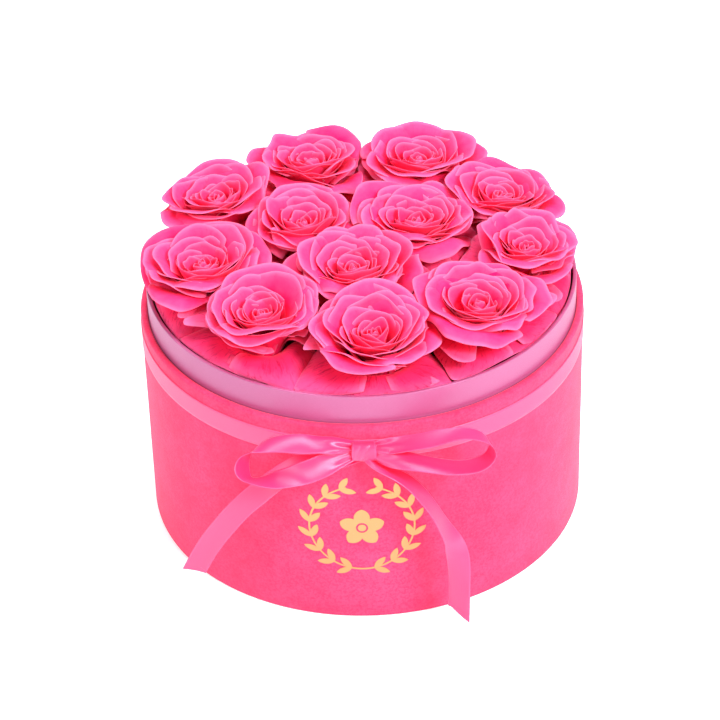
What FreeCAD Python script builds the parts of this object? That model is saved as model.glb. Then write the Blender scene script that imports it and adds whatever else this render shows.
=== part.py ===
import FreeCAD, Part
import math
import os

# Round velvet flower box holding preserved rose heads, with a satin bow.
# Millimetres. +Z is up, the origin is the centre of the underside and the bow faces -Y.

Vector = FreeCAD.Vector
UP = Vector(0, 0, 1)

# ---- box -----------------------------------------------------------------------------
BOX_DIAMETER = 240.0         # over the velvet
WALL_HEIGHT = 126.6          # table to the top of the velvet rim
VELVET = 0.7                 # pile and backing
WALL_BOARD = 2.4             # rolled card tube
RIM_ROUND = 1.0              # on both edges of the tube at the rim
TURN_IN = 14.0               # velvet folded down inside the rim
TURN_UNDER = 15.3            # velvet folded in under the base
BASE_BOARD = 2.4             # card disc glued inside the tube
COVER_GAP = 0.3              # round the paper disc under the base

# ---- collar that the lid slides over -------------------------------------------------
COLLAR_PROUD = 15.8          # above the velvet rim
COLLAR_BOARD = 1.2
COLLAR_SLIT = 0.2            # between collar ribbon and folded-in velvet
COLLAR_RIBBON = 0.55         # satin with its glue
COLLAR_RIBBON_WIDTH = 25.0   # from the rim up, over the top edge and down inside

# ---- foam ----------------------------------------------------------------------------
FOAM_BELOW_RIM = 14.6
FOAM_CLEARANCE = 0.4
HOLE_DEPTH = 45.0
HOLE_CLEARANCE = 0.05        # radial, round a stem

# ---- roses ---------------------------------------------------------------------------
OUTER_RING_SETBACK = 27.0    # from the collar's inner face in to the outer ring of stems
INNER_RING_RADIUS = 32.8
# ring, angle, step out from its ring, width of the head
ROSES = [
    ("outer", 107.7, -0.6, 57.6), ("outer", 67.6, 2.0, 65.4), ("outer", 148.7, 4.1, 64.2),
    ("outer", 28.7, 1.2, 62.8), ("inner", 150.0, 2.2, 56.0), ("inner", 27.8, 1.5, 61.6),
    ("outer", 191.4, -1.0, 64.8), ("outer", -6.4, 1.9, 54.4), ("inner", 261.3, -4.5, 63.6),
    ("outer", 230.9, -4.0, 62.8), ("outer", 273.9, -2.0, 66.8), ("outer", 314.7, -0.7, 63.0),
]
STEM_RADIUS = 3.0
STEM_TIP_GAP = 0.5           # below a stem, to the bottom of its hole
SEAT_GAP = 0.3               # between a hip and the foam
HIP_RADIUS = 6.0
HIP_WAIST = 4.6
HIP_HEIGHT = 7.7
RECEPTACLE = 2.0             # height of the petals' root above the hip
RECEPTACLE_RADIUS = 5.5
CUP_DEPTH = 30.0             # root of the petals up to the widest turn of the head
CUP_POINTS = 7               # that its side is drawn through
OUTER_CROWN = 18.0           # widest turn up to the top
INNER_CROWN = 20.5           # the middle heads stand higher
CROWN_FLAT = 0.62            # of the head's radius, where the top levels off
EYE_DEPTH = 5.0
PETAL_GAP = 0.6              # between neighbouring heads
PETAL_STEP = 0.8             # between the guard petals and the head
GUARD_PETAL = 1.0
GUARD_FLARE = 8.0            # how far the guard petals open beyond the head
GUARD_DROOP = 1.5
GUARD_BELOW_WIDEST = 9.5
LID_CLEARANCE = 1.0          # inside the collar's outer face, so a lid passes the heads
COLLAR_CLEARANCE = 0.7       # inside the collar, below its top

# ---- ribbon and bow ------------------------------------------------------------------
WAIST_DROP = 8.1             # velvet rim down to the ribbon's top edge
RIBBON_WIDTH = 12.0
WAIST_RIBBON = 0.35
BOW_RIBBON = 0.5
KNOT_X = -1.4
KNOT_RISE = 1.0              # above the ribbon's centre line
KNOT_WIDTH = 13.0
KNOT_HEIGHT = 9.0
KNOT_PROUD = 6.0             # beyond the velvet
KNOT_ROUND = 2.2
LEFT_TAIL_END = 26.0         # middle of its end above the table
RIGHT_TAIL_END = 14.0
# A station of a loop: x and z from the knot's centre, distance out from the velvet's
# foremost line, the direction of the ribbon's width, and how far the ribbon is spread.
LEFT_LOOP = [
    (-2.6, 1.5, 2.6, (0, 0, 1), 0.5), (-13.6, 4.4, 3.4, (0, 0.2, 1), 0.8),
    (-26.6, 5.9, 3.0, (0, 0.2, 1), 1.0), (-40.6, 5.3, 2.8, (0, 0.2, 1), 1.0),
    (-52.6, 3.1, 3.9, (0, 0.2, 1), 1.0), (-60.1, -1.0, 7.4, (0, 0.3, 1), 1.0),
    (-61.1, -4.5, 12.2, (0, 0.3, 1), 1.0), (-53.6, -6.9, 16.4, (0, 0.4, 1), 1.0),
    (-40.6, -5.5, 17.8, (0, 0.5, 1), 1.0), (-26.6, -3.2, 15.8, (0, 0.5, 1), 1.0),
    (-13.6, -1.0, 10.8, (0, 0.3, 1), 0.8), (-2.6, 0.3, 4.6, (0, 0, 1), 0.5),
]
RIGHT_LOOP = [
    (2.6, 1.5, 2.6, (0, 0, 1), 0.5), (17.0, 4.0, 3.8, (0, 0, 1), 0.8),
    (31.4, 5.7, 2.8, (0, -0.1, 1), 1.0), (44.4, 7.2, 2.4, (0, -0.1, 1), 1.0),
    (55.4, 6.4, 3.2, (0, -0.1, 1), 1.0), (63.4, 3.0, 6.2, (0, 0.1, 1), 1.0),
    (65.9, -0.3, 9.8, (0, 0.2, 1), 1.0), (59.4, -2.7, 13.6, (0, 0.2, 1), 1.0),
    (46.4, -3.0, 15.0, (0, 0.1, 1), 1.0), (33.4, -1.8, 14.0, (0, 0.1, 1), 1.0),
    (18.4, -0.5, 10.5, (0, 0, 1), 0.8), (2.6, 0.3, 4.6, (0, 0, 1), 0.5),
]
# A tail's second value is its share of the fall from the knot's centre to its end.
LEFT_TAIL = [
    (-1.6, 0.04, 2.7, (0.1, 0, -1), 0.35), (-14.6, 0.07, 3.2, (0.1, -0.3, -1), 0.65),
    (-31.6, 0.06, 5.5, (0.2, -0.8, -0.5), 1.0), (-42.6, 0.14, 5.5, (0.4, -0.7, -0.5), 1.0),
    (-52.6, 0.25, 4.5, (0.6, -0.6, -0.4), 1.0), (-62.8, 0.38, 2.0, (0.75, -0.5, -0.4), 1.0),
    (-72.8, 0.55, -2.0, (0.8, -0.4, -0.4), 1.0), (-82.6, 0.75, -7.0, (0.85, -0.35, -0.4), 1.0),
    (-92.1, 1.0, -12.7, (0.85, -0.35, -0.4), 1.0),
]
RIGHT_TAIL = [
    (1.4, 0.03, 3.6, (-1, 0, 0.5), 0.4), (6.6, 0.06, 7.2, (-0.5, -0.7, 0.3), 0.7),
    (13.4, 0.09, 9.2, (-0.5, -0.8, 0.3), 0.9), (21.4, 0.14, 10.2, (-0.5, -0.8, 0.3), 1.0),
    (29.5, 0.23, 11.0, (-0.5, -0.8, 0.3), 1.0), (35.8, 0.33, 12.0, (-0.4, -0.8, 0.3), 1.0),
    (40.8, 0.43, 13.4, (-0.5, -0.7, 0.4), 1.0), (45.0, 0.52, 14.0, (-0.7, -0.5, 0.4), 1.0),
    (47.3, 0.62, 14.2, (-0.9, -0.1, 0.1), 1.0), (47.8, 0.76, 14.0, (-0.9, 0.3, -0.3), 1.0),
    (47.4, 1.0, 13.0, (-0.9, 0.4, -0.3), 1.0),
]

# ---- foil emblem: a sprig wreath round a blossom --------------------------------------
EMBLEM_DIAMETER = 64.0
EMBLEM_GAP = 13.8            # below the waist ribbon
EMBLEM_X = -3.6
FOIL = 0.15
FOIL_LINE = 1.0
WREATH_OPEN = 16.0           # half of the opening at its top, degrees
LEAF_LENGTH = 9.0
LEAF_WIDTH = 3.6
LEAF_LEAN = 36.0             # out from the twig, degrees
LEAF_PAIRS = 8
BLOSSOM_PETALS = 5
BLOSSOM_PETAL = 11.0
BLOSSOM_PETAL_WIDTH = 8.4
BLOSSOM_EYE = 2.2

# ---- sizes that follow ---------------------------------------------------------------
outer_radius = BOX_DIAMETER / 2
board_radius = outer_radius - VELVET
bore_radius = board_radius - WALL_BOARD
rim_outer_round = RIM_ROUND + VELVET
base_top = VELVET + BASE_BOARD
collar_top = WALL_HEIGHT + COLLAR_PROUD
collar_face = bore_radius - VELVET - COLLAR_SLIT
collar_board_radius = collar_face - COLLAR_RIBBON
collar_bore = collar_board_radius - COLLAR_BOARD
foam_top = WALL_HEIGHT - FOAM_BELOW_RIM
petal_root = foam_top + SEAT_GAP + HIP_HEIGHT + RECEPTACLE
widest_turn = petal_root + CUP_DEPTH
waist_top = WALL_HEIGHT - WAIST_DROP
knot_z = waist_top - RIBBON_WIDTH / 2 + KNOT_RISE
emblem_z = waist_top - RIBBON_WIDTH - EMBLEM_GAP - EMBLEM_DIAMETER / 2


def polar(radius, degrees):
    return Vector(radius * math.cos(math.radians(degrees)),
                  radius * math.sin(math.radians(degrees)), 0)


def outline(start, steps):
    """Closed wire in the XZ plane: a step is an end point, or a middle and an end of an arc."""
    here = Vector(start[0], 0, start[1])
    first = here
    edges = []
    for step in steps + [start]:
        points = [Vector(x, 0, z) for x, z in (step if isinstance(step, list) else [step])]
        if len(points) == 2:
            edges.append(Part.Arc(here, *points).toShape())
        elif points[0].distanceToPoint(here) > 1e-6:
            edges.append(Part.LineSegment(here, points[0]).toShape())
        here = points[-1]
    assert here.distanceToPoint(first) < 1e-6
    return Part.Wire(edges)


def turned(wire):
    return Part.Face(wire).revolve(Vector(0, 0, 0), UP, 360)


def corner(x, z, radius, degrees):
    """Point on a rounded corner about (x, z)."""
    angle = math.radians(degrees)
    return (x + radius * math.cos(angle), z + radius * math.sin(angle))


def rounded_to(x, z, radius, middle, end):
    return [corner(x, z, radius, middle), corner(x, z, radius, end)]


# ---- box -----------------------------------------------------------------------------
def outer_wall():
    round_z = WALL_HEIGHT - rim_outer_round
    outer_x = board_radius - RIM_ROUND
    inner_x = bore_radius + RIM_ROUND
    return turned(outline((bore_radius, VELVET), [
        (board_radius, VELVET), (board_radius, round_z),
        rounded_to(outer_x, round_z, RIM_ROUND, 45, 90), corner(inner_x, round_z, RIM_ROUND, 90),
        rounded_to(inner_x, round_z, RIM_ROUND, 135, 180)]))


def velvet_wrap():
    round_z = WALL_HEIGHT - rim_outer_round
    outer_x = board_radius - RIM_ROUND
    inner_x = bore_radius + RIM_ROUND
    fold_end = WALL_HEIGHT - TURN_IN
    under_radius = board_radius - TURN_UNDER
    return turned(outline((under_radius, 0), [
        (board_radius, 0), rounded_to(board_radius, VELVET, VELVET, -45, 0),
        (outer_radius, round_z),
        rounded_to(outer_x, round_z, rim_outer_round, 45, 90), (inner_x, WALL_HEIGHT),
        rounded_to(inner_x, round_z, rim_outer_round, 135, 180),
        (bore_radius - VELVET, fold_end), (bore_radius, fold_end), (bore_radius, round_z),
        rounded_to(inner_x, round_z, RIM_ROUND, 135, 90), corner(outer_x, round_z, RIM_ROUND, 90),
        rounded_to(outer_x, round_z, RIM_ROUND, 45, 0),
        (board_radius, VELVET), (under_radius, VELVET)]))


def base_board():
    return Part.makeCylinder(bore_radius, BASE_BOARD, Vector(0, 0, VELVET))


def base_cover():
    return Part.makeCylinder(board_radius - TURN_UNDER - COVER_GAP, VELVET)


def inner_collar():
    height = collar_top - COLLAR_RIBBON - base_top
    tube = Part.makeCylinder(collar_board_radius, height, Vector(0, 0, base_top))
    return tube.cut(Part.makeCylinder(collar_bore, height, Vector(0, 0, base_top)))


def collar_ribbon():
    shoulder = collar_top - COLLAR_RIBBON
    inside = COLLAR_RIBBON_WIDTH - COLLAR_PROUD - COLLAR_BOARD
    return turned(outline((collar_board_radius, WALL_HEIGHT), [
        (collar_face, WALL_HEIGHT), (collar_face, shoulder),
        rounded_to(collar_board_radius, shoulder, COLLAR_RIBBON, 45, 90),
        (collar_bore, collar_top),
        rounded_to(collar_bore, shoulder, COLLAR_RIBBON, 135, 180),
        (collar_bore - COLLAR_RIBBON, collar_top - inside), (collar_bore, collar_top - inside),
        (collar_bore, shoulder), (collar_board_radius, shoulder)]))


def floral_foam(stems):
    foam = Part.makeCylinder(collar_bore - FOAM_CLEARANCE, foam_top - base_top,
                             Vector(0, 0, base_top))
    for centre in stems:
        mouth = Vector(centre.x, centre.y, foam_top - HOLE_DEPTH)
        foam = foam.cut(Part.makeCylinder(STEM_RADIUS + HOLE_CLEARANCE, HOLE_DEPTH, mouth))
    return foam


# ---- ribbon and bow ------------------------------------------------------------------
def band(inner, thickness, low, height):
    ring = Part.makeCylinder(inner + thickness, height, Vector(0, 0, low))
    return ring.cut(Part.makeCylinder(inner, height, Vector(0, 0, low)))


def waist_ribbon():
    return band(outer_radius, WAIST_RIBBON, waist_top - RIBBON_WIDTH, RIBBON_WIDTH)


def bow_knot():
    block = Part.makeBox(KNOT_WIDTH, outer_radius + KNOT_PROUD, KNOT_HEIGHT,
                         Vector(KNOT_X - KNOT_WIDTH / 2, -outer_radius - KNOT_PROUD,
                                knot_z - KNOT_HEIGHT / 2))
    front = -outer_radius - KNOT_PROUD
    edges = [edge for edge in block.Edges if edge.BoundBox.YMin < front + 1e-6]
    block = block.makeFillet(KNOT_ROUND, edges)
    return block.cut(Part.makeCylinder(outer_radius + WAIST_RIBBON, WALL_HEIGHT))


def loop_points(stations):
    return [(Vector(KNOT_X + x, -outer_radius - out, knot_z + z), Vector(*width), spread)
            for x, z, out, width, spread in stations]


def tail_points(stations, end_z):
    return [(Vector(KNOT_X + x, -outer_radius - out, knot_z - share * (knot_z - end_z)),
             Vector(*width), spread)
            for x, share, out, width, spread in stations]


def ribbon_corners(points):
    """Four corners of the ribbon's section at each station, square to its run."""
    rows = []
    for index, (centre, width, spread) in enumerate(points):
        before = points[max(index - 1, 0)][0]
        after = points[min(index + 1, len(points) - 1)][0]
        along = (after - before).normalize()
        across = (width - along * width.dot(along)).normalize()
        face = along.cross(across) * (BOW_RIBBON / 2)
        half = across * (RIBBON_WIDTH * spread / 2)
        rows.append([centre + half + face, centre - half + face,
                     centre - half - face, centre + half - face])
    return rows


def between(curve, other):
    """Straight-ruled face between two curves that share their knots."""
    surface = Part.BSplineSurface()
    surface.buildFromPolesMultsKnots(
        [curve.getPoles(), other.getPoles()], [2, 2], curve.getMultiplicities(),
        [0, 1], curve.getKnots(), False, False, 1, curve.Degree)
    return surface.toShape()


def strap(points, knot):
    """Ribbon through its stations, trimmed where it enters the knot."""
    rows = ribbon_corners(points)
    run = [0.0]
    for start, end in zip(points, points[1:]):
        run.append(run[-1] + (end[0] - start[0]).Length)
    edges = [Part.BSplineCurve() for corner_index in range(4)]
    for corner_index, edge in enumerate(edges):
        edge.interpolate(Points=[row[corner_index] for row in rows], Parameters=run)
    faces = [between(edge, other) for edge, other in zip(edges, edges[1:] + edges[:1])]
    faces += [Part.Face(Part.makePolygon(row + row[:1])) for row in (rows[0], rows[-1])]
    shell = Part.makeShell(faces)
    shell.sewShape()
    ribbon = Part.makeSolid(shell)
    if ribbon.Volume < 0:
        ribbon.reverse()
    return max(ribbon.cut(knot).Solids, key=lambda solid: solid.Volume)


# ---- foil emblem ---------------------------------------------------------------------
def leaf(length, width):
    """Pointed leaf in the XZ plane, from the origin along +X."""
    root = Vector(0, 0, 0)
    tip = Vector(length, 0, 0)
    sides = [Part.Arc(root, Vector(length / 2, 0, side * width / 2), tip).toShape()
             for side in (1, -1)]
    return Part.Face(Part.Wire(sides))


def placed(face, x, z, degrees):
    face.rotate(Vector(0, 0, 0), Vector(0, -1, 0), degrees)
    face.translate(Vector(x, 0, z))
    return face


def wreath():
    radius = (EMBLEM_DIAMETER - LEAF_WIDTH) / 2 - LEAF_LENGTH * math.sin(math.radians(LEAF_LEAN)) / 2
    outer = Part.makeCylinder(radius + FOIL_LINE / 2, 1, Vector(0, 0, 0), Vector(0, -1, 0))
    inner = Part.makeCylinder(radius - FOIL_LINE / 2, 1, Vector(0, 0, 0), Vector(0, -1, 0))
    gap = [corner(0, 0, 2 * radius, 90 + side * WREATH_OPEN) for side in (-1, 1)]
    opening = Part.Face(outline((0, 0), gap)).extrude(Vector(0, -1, 0))
    pieces = [outer.cut(inner).cut(opening)]
    for side in (-1, 1):
        for index in range(LEAF_PAIRS):
            angle = -90 + side * (180 - WREATH_OPEN) * (index + 0.6) / LEAF_PAIRS
            x, z = corner(0, 0, radius, angle)
            for lean in (-LEAF_LEAN, LEAF_LEAN):
                blade = placed(leaf(LEAF_LENGTH, LEAF_WIDTH), x, z, angle + side * 90 + lean)
                pieces.append(blade.extrude(Vector(0, -1, 0)))
    return pieces[0].multiFuse(pieces[1:])


def blossom():
    pieces = []
    for index in range(BLOSSOM_PETALS):
        angle = 90 + 360 * index / BLOSSOM_PETALS
        x, z = corner(0, 0, BLOSSOM_EYE / 2, angle)
        petal = placed(leaf(BLOSSOM_PETAL, BLOSSOM_PETAL_WIDTH), x, z, angle)
        pieces.append(petal.extrude(Vector(0, -1, 0)))
    eye = Part.makeCylinder(BLOSSOM_EYE, 1, Vector(0, 0, 0), Vector(0, -1, 0))
    ring = Part.makeCylinder(BLOSSOM_EYE + FOIL_LINE, 1, Vector(0, 0, 0), Vector(0, -1, 0))
    return pieces[0].multiFuse(pieces[1:]).cut(ring).fuse(eye)


def foil_emblem():
    """Both motifs stretched through the wall and kept where the foil lies on the velvet."""
    skin = band(outer_radius, FOIL, emblem_z - EMBLEM_DIAMETER, 2 * EMBLEM_DIAMETER)
    reach = FreeCAD.Matrix()
    reach.scale(Vector(1, outer_radius + 2 * FOIL, 1))
    solids = []
    for motif in (wreath(), blossom()):
        deep = motif.transformGeometry(reach)
        deep.translate(Vector(EMBLEM_X, 0, emblem_z))
        solids += deep.common(skin).Solids
    return Part.makeCompound(solids)


# ---- roses ---------------------------------------------------------------------------
def rose_centre(rose):
    ring, angle, step, width = rose
    base = collar_bore - OUTER_RING_SETBACK if ring == "outer" else INNER_RING_RADIUS
    return polar(base + step, angle)


def clipped(polygon, point, normal):
    """Part of a plan polygon that lies behind the line through point across normal."""
    kept = []
    for start, end in zip(polygon, polygon[1:] + polygon[:1]):
        before = (start - point).dot(normal)
        after = (end - point).dot(normal)
        if before <= 0:
            kept.append(start)
        if before * after < 0:
            kept.append(start + (end - start) * (before / (before - after)))
    return kept


def cell(index):
    """Upright prism that one rose may fill: a wider head takes more room from a narrow one."""
    centre = rose_centre(ROSES[index])
    radius = ROSES[index][3] / 2
    polygon = [polar(2 * outer_radius, 45 + 90 * side) for side in range(4)]
    for other_index, other in enumerate(ROSES):
        if other_index == index:
            continue
        apart = rose_centre(other) - centre
        distance = apart.Length
        share = (distance ** 2 + radius ** 2 - (other[3] / 2) ** 2) / (2 * distance)
        toward = Vector(apart).normalize()
        polygon = clipped(polygon, centre + toward * (share - PETAL_GAP / 2), toward)
    prism = Part.Face(Part.makePolygon(polygon + polygon[:1]))
    return prism.extrude(UP * (2 * collar_top))


def lid_space():
    """Room inside a lid, and inside the collar below its top."""
    low = Part.makeCylinder(collar_bore - COLLAR_RIBBON - COLLAR_CLEARANCE, 2 * collar_top)
    high = Part.makeCylinder(collar_face - LID_CLEARANCE, collar_top, Vector(0, 0, collar_top + 1))
    return low.fuse(high)


def cup_curve(radius, grow, end_angle):
    """Side of the cup, a quarter ellipse or less from the petals' root up to the widest turn."""
    points = []
    for step in range(CUP_POINTS):
        angle = math.radians(end_angle * step / (CUP_POINTS - 1))
        points.append(Vector(HIP_RADIUS + (radius - HIP_RADIUS + grow) * math.sin(angle), 0,
                             widest_turn - (CUP_DEPTH + grow) * math.cos(angle)))
    curve = Part.BSplineCurve()
    curve.interpolate(points)
    return curve.toShape(), points


def line(start, end):
    return Part.LineSegment(Vector(start[0], 0, start[1]), Vector(end[0], 0, end[1])).toShape()


def bloom(rose):
    radius = rose[3] / 2
    top = widest_turn + (OUTER_CROWN if rose[0] == "outer" else INNER_CROWN)
    flat = CROWN_FLAT * radius
    side, points = cup_curve(radius, 0, 90)
    widest = points[-1]
    shoulder = Vector(flat + (radius - flat) * math.sin(math.radians(50)), 0,
                      widest_turn + (top - widest_turn) * math.cos(math.radians(50)))
    crown = Part.Arc(widest, shoulder, Vector(flat, 0, top)).toShape()
    eye = flat / 2
    edges = [line((0, petal_root), (HIP_RADIUS, petal_root)), side, crown,
             line((flat, top), (eye, top)), line((eye, top), (0, top - EYE_DEPTH)),
             line((0, top - EYE_DEPTH), (0, petal_root))]
    return turned(Part.Wire(edges))


def guard_petals(rose):
    radius = rose[3] / 2
    hip_top = petal_root - RECEPTACLE
    flare_angle = math.degrees(math.acos(GUARD_BELOW_WIDEST / CUP_DEPTH))
    inner, inner_points = cup_curve(radius, PETAL_STEP, flare_angle)
    outer, outer_points = cup_curve(radius, PETAL_STEP + GUARD_PETAL, flare_angle)
    inner_end, outer_end = inner_points[-1], outer_points[-1]
    lip_x = radius + GUARD_FLARE
    lip_z = inner_end.z - GUARD_DROOP
    inner_start, outer_start = inner_points[0], outer_points[0]
    edges = [
        line((0, hip_top), (outer_start.x, hip_top)),
        line((outer_start.x, hip_top), (outer_start.x, outer_start.z)),
        outer,
        line((outer_end.x, outer_end.z), (lip_x, lip_z - GUARD_PETAL)),
        line((lip_x, lip_z - GUARD_PETAL), (lip_x, lip_z)),
        line((lip_x, lip_z), (inner_end.x, inner_end.z)),
        inner,
        line((inner_start.x, inner_start.z), (RECEPTACLE_RADIUS, inner_start.z)),
        line((RECEPTACLE_RADIUS, inner_start.z), (RECEPTACLE_RADIUS, petal_root)),
        line((RECEPTACLE_RADIUS, petal_root), (0, petal_root)),
        line((0, petal_root), (0, hip_top))]
    return turned(Part.Wire(edges))


def stem():
    tip = foam_top - HOLE_DEPTH + STEM_TIP_GAP
    seat = foam_top + SEAT_GAP
    hip_top = seat + HIP_HEIGHT
    return turned(outline((0, tip), [
        (STEM_RADIUS, tip), (STEM_RADIUS, seat), (HIP_WAIST, seat),
        [(HIP_RADIUS, seat + HIP_HEIGHT / 2), (HIP_WAIST, hip_top)], (0, hip_top)]))


def rose_nodes(index):
    rose = ROSES[index]
    name = f"rose_{index + 1:02d}"
    centre = rose_centre(rose)
    room = cell(index).common(lid_space())
    nodes = {f"{name}_stem": stem(), f"{name}_guard_petals": guard_petals(rose),
             f"{name}_bloom": bloom(rose)}
    for shape in nodes.values():
        shape.translate(centre)
    for part in ("guard_petals", "bloom"):
        kept = nodes[f"{name}_{part}"].common(room)
        nodes[f"{name}_{part}"] = max(kept.Solids, key=lambda solid: solid.Volume)
    return nodes


def build():
    knot = bow_knot()
    nodes = {
        "base_cover": base_cover(),
        "base_board": base_board(),
        "outer_wall": outer_wall(),
        "velvet_wrap": velvet_wrap(),
        "inner_collar": inner_collar(),
        "collar_ribbon": collar_ribbon(),
        "floral_foam": floral_foam([rose_centre(rose) for rose in ROSES]),
        "waist_ribbon": waist_ribbon(),
        "bow_knot": knot,
        "bow_loop_left": strap(loop_points(LEFT_LOOP), knot),
        "bow_loop_right": strap(loop_points(RIGHT_LOOP), knot),
        "bow_tail_left": strap(tail_points(LEFT_TAIL, LEFT_TAIL_END), knot),
        "bow_tail_right": strap(tail_points(RIGHT_TAIL, RIGHT_TAIL_END), knot),
        "foil_emblem": foil_emblem(),
    }
    for index in range(len(ROSES)):
        nodes.update(rose_nodes(index))
    return nodes


os.makedirs("parts", exist_ok=True)
for node, shape in build().items():
    print(f"{node}: {shape.Volume:.1f} mm3, {len(shape.Solids)} solid(s), valid {shape.isValid()}")
    shape.exportStep(f"parts/{node}.step")
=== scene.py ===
import math

import bpy
import numpy as np
from bpy.props import (
    FloatProperty, FloatVectorProperty, IntProperty, PointerProperty,
)
from mathutils import Matrix, Vector


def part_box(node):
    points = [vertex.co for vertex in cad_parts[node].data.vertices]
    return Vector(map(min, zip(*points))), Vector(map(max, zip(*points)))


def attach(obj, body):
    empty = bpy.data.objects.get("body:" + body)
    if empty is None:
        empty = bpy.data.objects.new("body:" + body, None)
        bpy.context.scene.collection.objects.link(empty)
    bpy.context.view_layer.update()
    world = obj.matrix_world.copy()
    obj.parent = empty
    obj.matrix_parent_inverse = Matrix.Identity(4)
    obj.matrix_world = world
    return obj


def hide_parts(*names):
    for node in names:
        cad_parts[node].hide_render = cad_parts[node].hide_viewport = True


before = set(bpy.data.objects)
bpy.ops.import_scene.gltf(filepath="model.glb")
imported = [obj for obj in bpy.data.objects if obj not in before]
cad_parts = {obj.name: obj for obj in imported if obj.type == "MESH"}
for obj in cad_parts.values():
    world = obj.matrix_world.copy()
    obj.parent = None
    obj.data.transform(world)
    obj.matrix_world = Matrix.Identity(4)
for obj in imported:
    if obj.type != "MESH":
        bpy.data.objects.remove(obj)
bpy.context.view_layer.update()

bl_info = {
    "name": "Flower Box Finisher",
    "version": (1, 0, 0),
    "blender": (4, 5, 0),
    "location": "3D View > Sidebar > Flower Box",
    "description": "Dresses a round flower box: velvet, satin ribbons, bow, foil and rose heads",
    "category": "Add Mesh",
}

MM = 0.001
ROSE_COUNT = 12

# ---- places read from the frame ----
VELVET_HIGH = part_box("velvet_wrap")[1]
OUTER_RADIUS = VELVET_HIGH.x
RIM_Z = VELVET_HIGH.z
COLLAR_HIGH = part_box("collar_ribbon")[1]
COLLAR_FACE = COLLAR_HIGH.x
COLLAR_TOP = COLLAR_HIGH.z
WAIST_LOW, WAIST_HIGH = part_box("waist_ribbon")
KNOT_LOW, KNOT_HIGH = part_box("bow_knot")
KNOT = (KNOT_LOW + KNOT_HIGH) / 2
LEFT_TAIL_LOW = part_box("bow_tail_left")[0]
RIGHT_TAIL_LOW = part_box("bow_tail_right")[0]
VELVET_THICKNESS = 0.7 * MM
RIM_WIDTH = 3.8 * MM
TURN_IN = 14.0 * MM
TURN_UNDER = 15.3 * MM
COLLAR_INSIDE = 2.0 * MM          # collar board and ribbon, face to bore
RING_SEGMENTS = 288
HEAD_ROOM = COLLAR_FACE - COLLAR_INSIDE - 0.6 * MM      # radius left to the petals
LAP = 3.6 * MM                    # how far a later head's petals lie over an earlier one's
DIP = 2.6 * MM                    # how far an earlier head's petals give way under them
GUARD_LAP = 2.6 * MM
LEAN_DEPTH = 8 * MM               # below a head's top, where it leans about
CAMERA_PLACE = (-2.05 * MM, -1266.42 * MM, 988.09 * MM)

# ---- bow, from the knot's centre: x, z, distance out from the velvet's foremost line,
# direction of the ribbon's width, and how far the ribbon is spread ----
LEFT_LOOP = [
    (-2.6, 1.6, 2.6, (0, 0.2, 1), 0.45), (-13.5, 4.6, 4.0, (0.1, 0.7, 0.7), 0.75),
    (-21.7, 6.8, 5.2, (0.1, 0.95, 0.3), 0.95), (-30.5, 7.6, 5.4, (0.15, 0.9, 0.4), 1.0),
    (-40.5, 7.2, 3.8, (0.25, 0.93, 0.25), 1.0), (-49.8, 4.7, 2.0, (0.3, 0.95, 0), 1.0),
    (-55.8, 1.8, 2.0, (0.35, 0.9, -0.3), 1.0), (-59.6, -0.9, 3.8, (0.5, 0.8, -0.4), 1.0),
    (-61.8, -3.7, 6.4, (0.62, 0.68, -0.4), 1.0), (-62.2, -6.3, 9.2, (0.62, 0.68, -0.36), 1.0),
    (-60.4, -8.6, 11.8, (0.45, 0.8, -0.4), 1.0), (-56.0, -9.6, 13.4, (0.15, 0.93, -0.3), 1.0),
    (-50.5, -9.4, 14.2, (0, 0.98, -0.1), 1.0), (-44.0, -8.4, 14.5, (-0.08, 0.97, 0.2), 1.0),
    (-36.5, -6.6, 14.3, (-0.15, 0.9, 0.4), 1.0), (-28.5, -4.6, 13.2, (-0.35, 0.6, 0.7), 1.0),
    (-21.0, -2.9, 10.8, (-0.4, 0.58, 0.7), 1.0), (-13.5, -1.6, 7.6, (-0.3, 0.5, 0.8), 0.8),
    (-4.5, -0.6, 4.4, (0, 0.2, 1), 0.5),
]
RIGHT_LOOP = [
    (2.6, 1.2, 2.8, (0, 0.2, 1), 0.45), (13.5, 3.0, 3.8, (0.1, 0.8, 0.5), 0.75),
    (25.5, 5.8, 5.2, (0.2, 0.95, 0.2), 1.0), (36.7, 9.1, 6.6, (0.17, 0.95, 0.25), 1.0),
    (45.7, 12.0, 8.0, (0.17, 0.98, 0.05), 1.0), (53.0, 13.2, 9.0, (0.13, 0.98, -0.1), 1.0),
    (59.2, 12.0, 9.7, (0.04, 0.97, -0.2), 1.0), (62.8, 9.7, 10.3, (-0.05, 0.94, -0.32), 1.0),
    (64.6, 7.0, 11.1, (-0.17, 0.9, -0.4), 1.0), (64.8, 4.0, 12.3, (-0.33, 0.88, -0.34), 1.0),
    (63.0, 1.0, 13.5, (-0.42, 0.87, -0.25), 1.0), (58.6, -1.8, 14.2, (-0.38, 0.92, -0.05), 1.0),
    (51.2, -3.4, 14.3, (-0.2, 0.98, 0.05), 1.0), (42.0, -3.2, 14.0, (-0.04, 0.98, 0.12), 1.0),
    (32.8, -2.0, 13.0, (0.08, 0.98, 0.14), 1.0), (23.0, -1.2, 11.0, (0.18, 0.95, 0.25), 0.97),
    (13.0, -1.0, 8.0, (0.2, 0.7, 0.6), 0.8), (4.5, -0.6, 4.8, (0.1, 0.3, 1), 0.5),
]
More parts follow.
